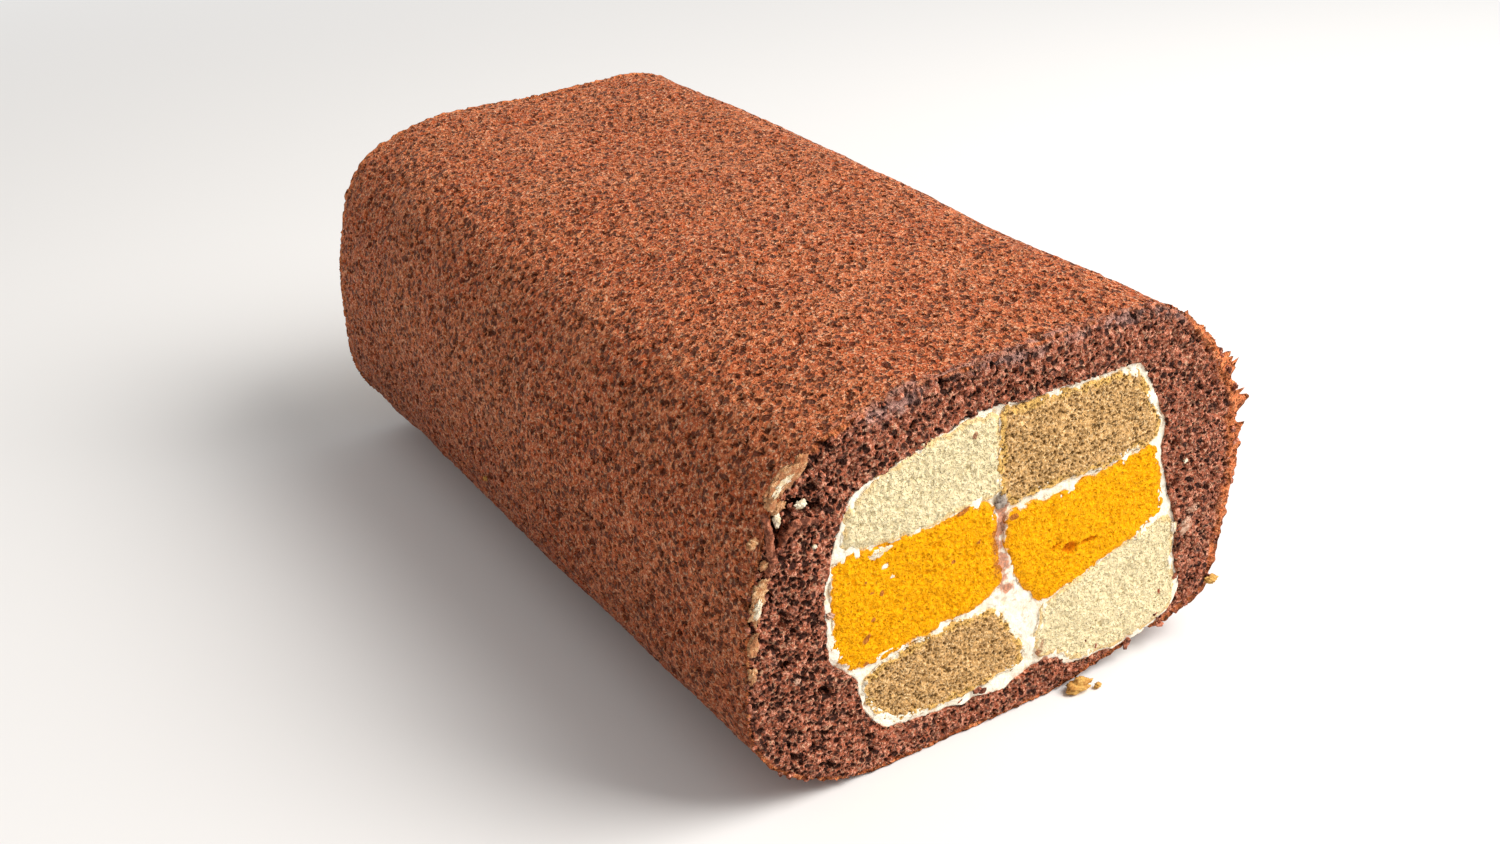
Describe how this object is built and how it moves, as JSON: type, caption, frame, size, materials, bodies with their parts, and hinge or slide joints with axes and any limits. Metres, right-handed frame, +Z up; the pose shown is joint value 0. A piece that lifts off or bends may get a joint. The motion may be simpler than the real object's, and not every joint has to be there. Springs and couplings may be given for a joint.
{
  "type": "swiss roll cake",
  "caption": "Swiss roll cake: a chocolate sponge wrapped round pale, coffee and orange sponge blocks with thin cream.",
  "frame": {"origin": "on the table under the middle of the roll", "axes": "+X to the right across the near cut face, +Y away along the roll to its far end, +Z up"},
  "size_m": [0.1143, 0.18, 0.0803],
  "materials": {
    "chocolate_sponge": "matt open crumb",
    "pale_sponge": "matt open crumb",
    "coffee_sponge": "matt open crumb",
    "orange_sponge": "matt open crumb",
    "cream": "soft cream"
  },
  "bodies": {
    "root": {"chocolate_wrap": "chocolate_sponge", "cream_filling": "cream", "pale_block_upper_left": "pale_sponge", "coffee_block_upper_right": "coffee_sponge", "orange_block_left": "orange_sponge", "orange_block_right": "orange_sponge", "coffee_block_lower_left": "coffee_sponge", "pale_block_lower_right": "pale_sponge"}
  },
  "joints": []
}
